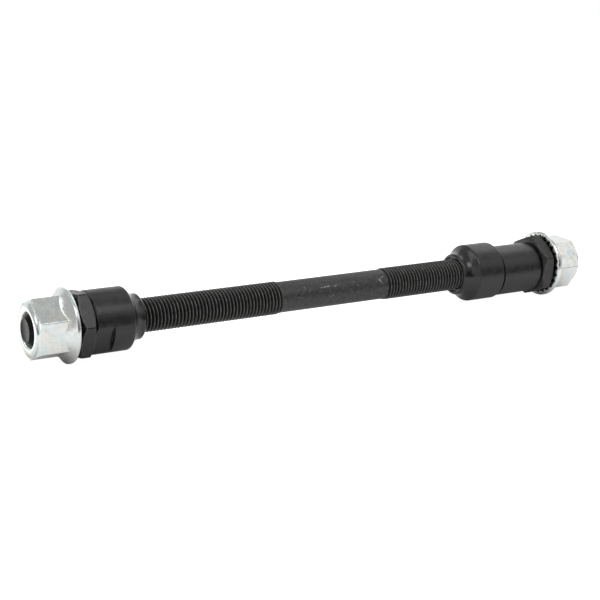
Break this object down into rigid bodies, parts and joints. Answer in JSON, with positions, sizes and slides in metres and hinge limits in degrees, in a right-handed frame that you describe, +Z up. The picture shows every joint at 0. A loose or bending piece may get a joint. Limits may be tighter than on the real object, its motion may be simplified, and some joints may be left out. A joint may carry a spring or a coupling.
{
  "type": "bicycle hub axle",
  "caption": "Solid threaded bicycle hub axle with bearing cones, a spacer tube, thin locknuts and toothed flange nuts, as it comes out of the hub.",
  "frame": {"origin": "middle of the axle's length, on the axle's own axis", "axes": "+Y along the axle towards the end with the spacer, +Z up, +X to complete a right-handed frame"},
  "size_m": [0.0204, 0.185, 0.0204],
  "materials": {
    "axle_steel": "black oxide, oily, rolled thread",
    "black_oxide": "satin black oxide",
    "zinc_plate": "bright zinc plate"
  },
  "bodies": {
    "axle": {"axle": "axle_steel"},
    "left_cone": {"left_cone": "black_oxide"},
    "left_locknut": {"left_locknut": "black_oxide"},
    "left_flange_nut": {"left_flange_nut": "zinc_plate"},
    "right_cone": {"right_cone": "black_oxide"},
    "right_spacer": {"right_spacer": "black_oxide"},
    "right_locknut": {"right_locknut": "black_oxide"},
    "right_flange_nut": {"right_flange_nut": "zinc_plate"}
  },
  "joints": [
    {"name": "left_cone_slide", "type": "slide", "parent": "axle", "child": "left_cone", "axis": [0, 1, 0], "range_m": [0, 0.0425]},
    {"name": "left_locknut_slide", "type": "slide", "parent": "left_cone", "child": "left_locknut", "axis": [0, -1, 0], "range_m": [0, 0.009]},
    {"name": "left_flange_nut_slide", "type": "slide", "parent": "left_locknut", "child": "left_flange_nut", "axis": [0, -1, 0], "range_m": [0, 0.009]},
    {"name": "right_cone_slide", "type": "slide", "parent": "axle", "child": "right_cone", "axis": [0, -1, 0], "range_m": [0, 0.0265]},
    {"name": "right_spacer_slide", "type": "slide", "parent": "right_cone", "child": "right_spacer", "axis": [0, 1, 0], "range_m": [0, 0.009]},
    {"name": "right_locknut_slide", "type": "slide", "parent": "right_spacer", "child": "right_locknut", "axis": [0, 1, 0], "range_m": [0, 0.009]},
    {"name": "right_flange_nut_slide", "type": "slide", "parent": "right_locknut", "child": "right_flange_nut", "axis": [0, 1, 0], "range_m": [0, 0.009]}
  ]
}
